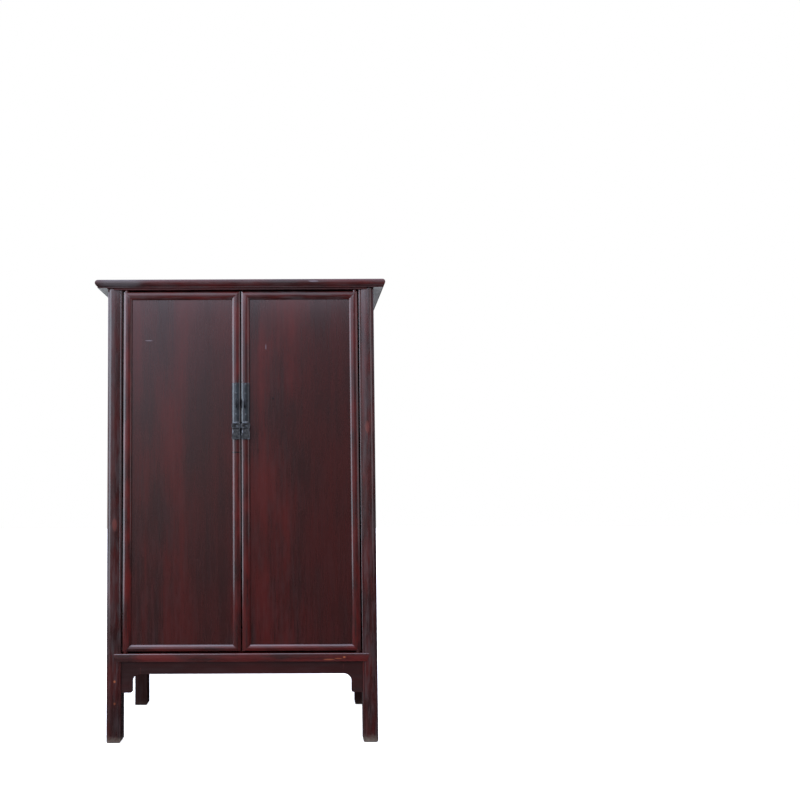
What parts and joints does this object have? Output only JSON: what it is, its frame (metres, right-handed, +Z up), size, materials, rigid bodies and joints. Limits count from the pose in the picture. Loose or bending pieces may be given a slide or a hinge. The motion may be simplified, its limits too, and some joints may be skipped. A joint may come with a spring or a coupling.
{
  "type": "tapered cabinet",
  "caption": "Tall tapered cabinet with splayed round legs, an overhanging moulded crown, pivot-hung doors, aprons, shelves, face plates, lock lugs and hanging pulls.",
  "frame": {"origin": "middle of the footprint on the floor, under the middle of the crown", "axes": "+Z up, +X to the right for someone who faces the doors, +Y from the doors to the back"},
  "size_m": [1.112, 0.527, 1.78],
  "materials": {
    "lacquered_wood": "worn dark red-brown lacquer",
    "inner_wood": "bare aged wood",
    "iron": "dull dark iron"
  },
  "bodies": {
    "carcass": {"front_left_leg": "lacquered_wood", "front_right_leg": "lacquered_wood", "rear_left_leg": "lacquered_wood", "rear_right_leg": "lacquered_wood", "crown_front_rail": "lacquered_wood", "crown_rear_rail": "lacquered_wood", "crown_left_end": "lacquered_wood", "crown_right_end": "lacquered_wood", "crown_panel": "inner_wood", "crown_battens": "inner_wood", "front_top_rail": "lacquered_wood", "front_bottom_rail": "lacquered_wood", "rear_bottom_rail": "lacquered_wood", "left_bottom_rail": "lacquered_wood", "right_bottom_rail": "lacquered_wood", "front_apron": "lacquered_wood", "front_left_spandrel": "lacquered_wood", "front_right_spandrel": "lacquered_wood", "left_apron": "lacquered_wood", "right_apron": "lacquered_wood", "rear_apron": "lacquered_wood", "left_side_spandrels": "lacquered_wood", "right_side_spandrels": "lacquered_wood", "left_side_panel": "lacquered_wood", "right_side_panel": "lacquered_wood", "left_panel_battens": "inner_wood", "right_panel_battens": "inner_wood", "back_upper_panel": "inner_wood", "back_lower_panel": "inner_wood", "rear_mid_rail": "lacquered_wood", "bottom_board": "inner_wood", "bottom_battens": "inner_wood", "upper_shelf": "inner_wood", "lower_shelf": "inner_wood", "shelf_bearers": "inner_wood"},
    "left_door": {"left_outer_stile": "lacquered_wood", "left_inner_stile": "lacquered_wood", "left_door_top_rail": "lacquered_wood", "left_door_bottom_rail": "lacquered_wood", "left_door_panel": "lacquered_wood", "left_door_battens": "inner_wood", "left_face_plate": "iron", "left_plate_nails": "iron", "left_lock_lug": "iron", "left_pull_staple": "iron"},
    "right_door": {"right_outer_stile": "lacquered_wood", "right_inner_stile": "lacquered_wood", "right_door_top_rail": "lacquered_wood", "right_door_bottom_rail": "lacquered_wood", "right_door_panel": "lacquered_wood", "right_door_battens": "inner_wood", "right_face_plate": "iron", "right_plate_nails": "iron", "right_lock_lug": "iron", "right_pull_staple": "iron"},
    "left_pull_body": {"left_pull": "iron"},
    "right_pull_body": {"right_pull": "iron"}
  },
  "joints": [
    {"name": "left_door_hinge", "type": "hinge", "parent": "carcass", "child": "left_door", "pos_m": [-0.44779, -0.24579, 0.35142], "axis": [-0.0063, -0.0063, -1], "range_deg": [0, 105]},
    {"name": "right_door_hinge", "type": "hinge", "parent": "carcass", "child": "right_door", "pos_m": [0.44779, -0.24579, 0.35142], "axis": [-0.0063, 0.0063, 1], "range_deg": [0, 105]},
    {"name": "left_pull_hinge", "type": "hinge", "parent": "left_door", "child": "left_pull_body", "pos_m": [-0.0183, -0.25565, 1.231], "axis": [-1, 0, 0], "range_deg": [0, 85]},
    {"name": "right_pull_hinge", "type": "hinge", "parent": "right_door", "child": "right_pull_body", "pos_m": [0.0183, -0.25565, 1.231], "axis": [-1, 0, 0], "range_deg": [0, 85]}
  ]
}
